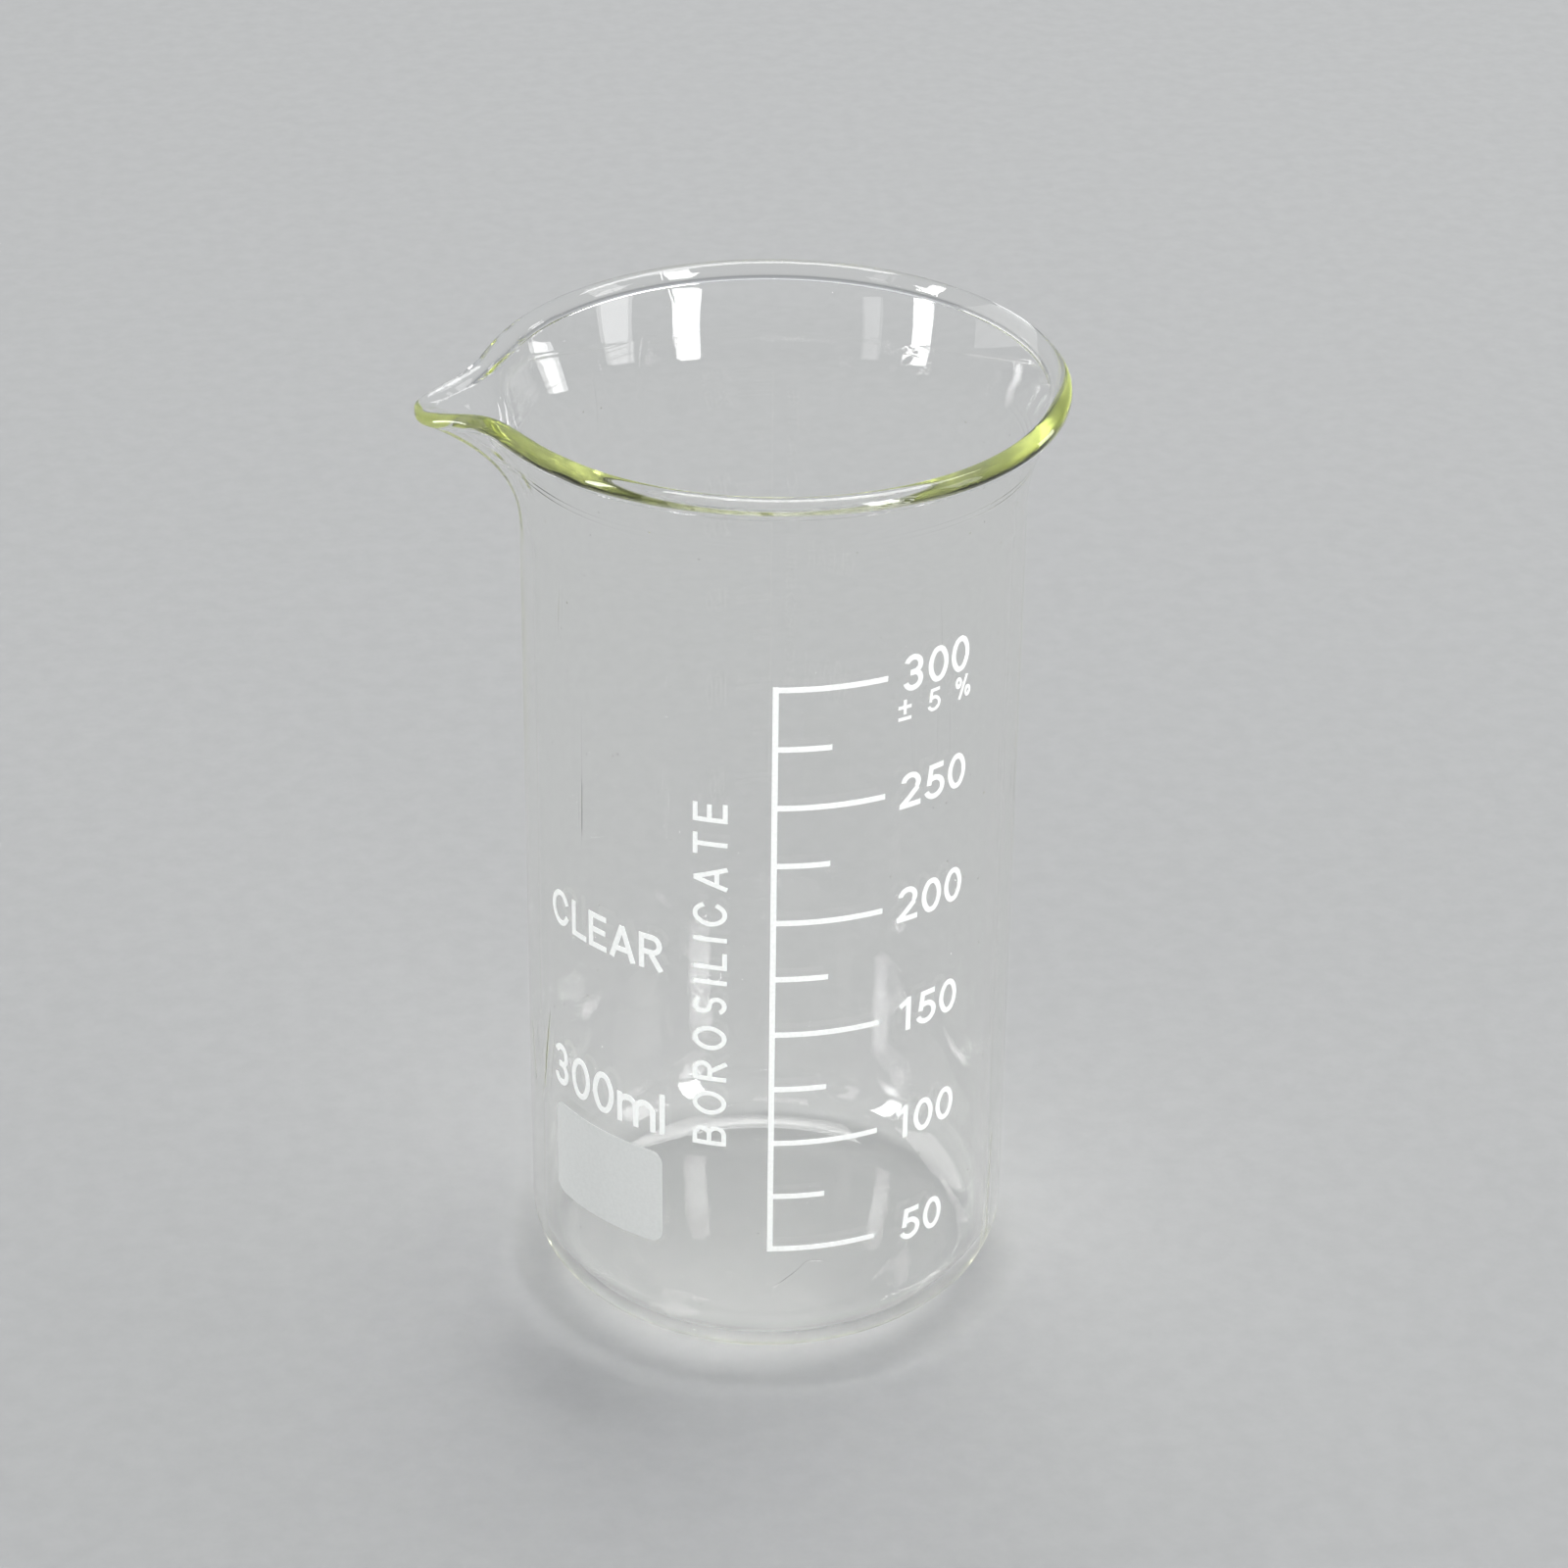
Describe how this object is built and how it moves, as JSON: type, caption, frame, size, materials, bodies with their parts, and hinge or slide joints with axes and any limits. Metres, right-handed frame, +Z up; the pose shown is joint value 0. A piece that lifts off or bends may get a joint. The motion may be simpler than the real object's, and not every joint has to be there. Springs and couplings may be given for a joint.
{
  "type": "laboratory beaker",
  "caption": "Tall-form glass beaker with a flared, beaded rim, a drawn pouring spout, a rounded heel and a white enamel graduation scale fired onto the wall.",
  "frame": {"origin": "on the axis of the round body, in the plane that the beaker rests on", "axes": "+Z up along the body's axis, the spout points along -X, the enamel scale faces -Y"},
  "size_m": [0.0831, 0.0752, 0.132],
  "materials": {
    "clear_glass": "clear fire-polished borosilicate glass, faintly yellow-green where it is seen edge-on",
    "white_enamel": "white screen-printed enamel, fired on, satin",
    "grey_enamel": "pale grey-white enamel, fired on, matt so that it takes pencil"
  },
  "bodies": {
    "root": {"glass_vessel": "clear_glass", "scale_ladder": "white_enamel", "numeral_50": "white_enamel", "numeral_100": "white_enamel", "numeral_150": "white_enamel", "numeral_200": "white_enamel", "numeral_250": "white_enamel", "numeral_300": "white_enamel", "tolerance_mark": "white_enamel", "capacity_mark": "white_enamel", "marking_patch": "grey_enamel", "clear_word": "white_enamel", "borosilicate_word": "white_enamel"}
  },
  "joints": []
}
